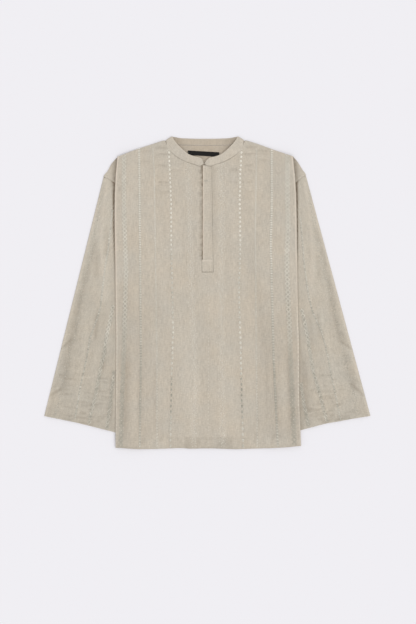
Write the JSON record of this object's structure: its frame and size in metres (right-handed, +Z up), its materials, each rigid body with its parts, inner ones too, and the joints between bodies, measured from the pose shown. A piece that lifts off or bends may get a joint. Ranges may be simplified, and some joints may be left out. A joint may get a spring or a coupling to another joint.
{
  "type": "embroidered shirt",
  "caption": "Band-collar popover shirt in striped embroidered cloth, laid flat with its sides folded under and wide sleeves out.",
  "frame": {"origin": "on the surface that the shirt lies on, below the middle of its outline", "axes": "+Y from the hem to the collar, +X to the right of someone looking down at the shirt, +Z up off the surface"},
  "size_m": [0.792, 0.7595, 0.0097],
  "materials": {
    "linen": "dry beige cotton and ramie cloth with slubs, matte with a faint sheen, and vertical self-colour embroidery",
    "linen_inside": "the same cloth seen on its plain inner side, a little warmer",
    "label_black": "plain black woven satin label"
  },
  "bodies": {
    "root": {"back": "linen_inside", "front": "linen", "sleeve_left": "linen", "sleeve_right": "linen", "collar_band": "linen", "placket_over": "linen", "placket_under": "linen_inside", "label": "label_black"}
  },
  "joints": []
}
